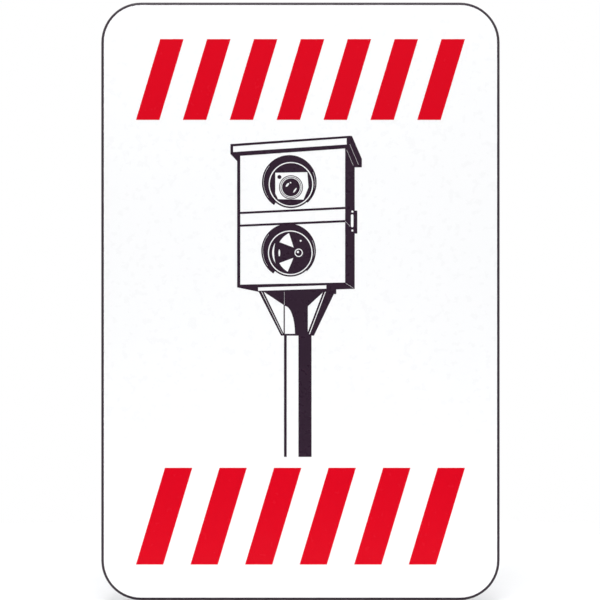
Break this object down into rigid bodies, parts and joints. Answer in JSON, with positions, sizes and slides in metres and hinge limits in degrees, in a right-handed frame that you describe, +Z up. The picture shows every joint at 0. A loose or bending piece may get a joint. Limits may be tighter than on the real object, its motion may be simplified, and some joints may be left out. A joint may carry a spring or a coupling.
{
  "type": "post-mounted road warning sign",
  "caption": "Upright rounded road sign with red stripes and a speed-camera pictogram, folded tray body, T-slot rails and round-post clamps.",
  "frame": {"origin": "centre of the upper post clamp's bore, on the post's axis", "axes": "+Z up along the post, -Y towards the reader (the face's outward normal), +X to the reader's right"},
  "size_m": [0.4, 0.1061, 0.6],
  "materials": {
    "coated_sheet": "satin dark grey powder coat on folded aluminium sheet",
    "white_film": "white glass-bead retroreflective film, clear smooth surface",
    "red_print": "smooth red film",
    "dark_print": "dark smooth film",
    "rail_metal": "mill-finish extruded aluminium with fine draw lines",
    "saddle_metal": "sawn extruded aluminium",
    "galvanised": "hot-dip galvanised steel with zinc spangle",
    "stainless": "plain stainless steel fasteners",
    "stud_metal": "bare aluminium weld studs",
    "nylon": "natural nylon",
    "black_plastic": "black moulded plastic, fine texture",
    "label": "blank silver-grey sticker"
  },
  "bodies": {
    "sign": {"sign_tray": "coated_sheet", "face_film": "white_film", "heading_stripes": "red_print", "footer_stripes": "red_print", "camera_pictogram": "dark_print", "weld_studs": "stud_metal", "stud_nuts": "stainless", "blank_label": "label", "upper_rail": "rail_metal", "upper_left_end_cap": "black_plastic", "upper_right_end_cap": "black_plastic", "lower_rail": "rail_metal", "lower_left_end_cap": "black_plastic", "lower_right_end_cap": "black_plastic"},
    "upper_clamp": {"upper_saddle": "saddle_metal", "upper_t_bolts": "stainless", "upper_base_washers": "stainless", "upper_base_nuts": "stainless"},
    "upper_clamp_strap": {"upper_strap": "galvanised", "upper_weld_nut": "galvanised", "upper_strap_washers": "stainless"},
    "upper_left_nut": {"upper_left_lock_nut": "stainless", "upper_left_lock_ring": "nylon"},
    "upper_right_nut": {"upper_right_lock_nut": "stainless", "upper_right_lock_ring": "nylon"},
    "upper_screw": {"upper_set_screw": "stainless"},
    "lower_clamp": {"lower_saddle": "saddle_metal", "lower_t_bolts": "stainless", "lower_base_washers": "stainless", "lower_base_nuts": "stainless"},
    "lower_clamp_strap": {"lower_strap": "galvanised", "lower_weld_nut": "galvanised", "lower_strap_washers": "stainless"},
    "lower_left_nut": {"lower_left_lock_nut": "stainless", "lower_left_lock_ring": "nylon"},
    "lower_right_nut": {"lower_right_lock_nut": "stainless", "lower_right_lock_ring": "nylon"},
    "lower_screw": {"lower_set_screw": "stainless"}
  },
  "joints": [
    {"name": "upper_clamp_slide", "type": "slide", "parent": "sign", "child": "upper_clamp", "axis": [1, 0, 0], "range_m": [-0.07, 0.07]},
    {"name": "upper_strap_slide", "type": "slide", "parent": "upper_clamp", "child": "upper_clamp_strap", "axis": [0, 1, 0], "range_m": [0, 0.01]},
    {"name": "upper_left_nut_turn", "type": "hinge", "parent": "upper_clamp_strap", "child": "upper_left_nut", "pos_m": [-0.047, 0, 0], "axis": [0, 1, 0], "range_deg": [0, 2880]},
    {"name": "upper_right_nut_turn", "type": "hinge", "parent": "upper_clamp_strap", "child": "upper_right_nut", "pos_m": [0.047, 0, 0], "axis": [0, 1, 0], "range_deg": [0, 2880]},
    {"name": "upper_screw_slide", "type": "slide", "parent": "upper_clamp_strap", "child": "upper_screw", "axis": [0, 1, 0], "range_m": [0, 0.008]},
    {"name": "lower_clamp_slide", "type": "slide", "parent": "sign", "child": "lower_clamp", "axis": [1, 0, 0], "range_m": [-0.07, 0.07]},
    {"name": "lower_strap_slide", "type": "slide", "parent": "lower_clamp", "child": "lower_clamp_strap", "axis": [0, 1, 0], "range_m": [0, 0.01]},
    {"name": "lower_left_nut_turn", "type": "hinge", "parent": "lower_clamp_strap", "child": "lower_left_nut", "pos_m": [-0.047, 0, -0.35], "axis": [0, 1, 0], "range_deg": [0, 2880]},
    {"name": "lower_right_nut_turn", "type": "hinge", "parent": "lower_clamp_strap", "child": "lower_right_nut", "pos_m": [0.047, 0, -0.35], "axis": [0, 1, 0], "range_deg": [0, 2880]},
    {"name": "lower_screw_slide", "type": "slide", "parent": "lower_clamp_strap", "child": "lower_screw", "axis": [0, 1, 0], "range_m": [0, 0.008]}
  ],
  "couplings": [
    {"joint": "upper_left_nut_turn", "follows": "upper_strap_slide", "rad_per_m": 5026.5},
    {"joint": "upper_right_nut_turn", "follows": "upper_strap_slide", "rad_per_m": 5026.5},
    {"joint": "lower_left_nut_turn", "follows": "lower_strap_slide", "rad_per_m": 5026.5},
    {"joint": "lower_right_nut_turn", "follows": "lower_strap_slide", "rad_per_m": 5026.5}
  ]
}
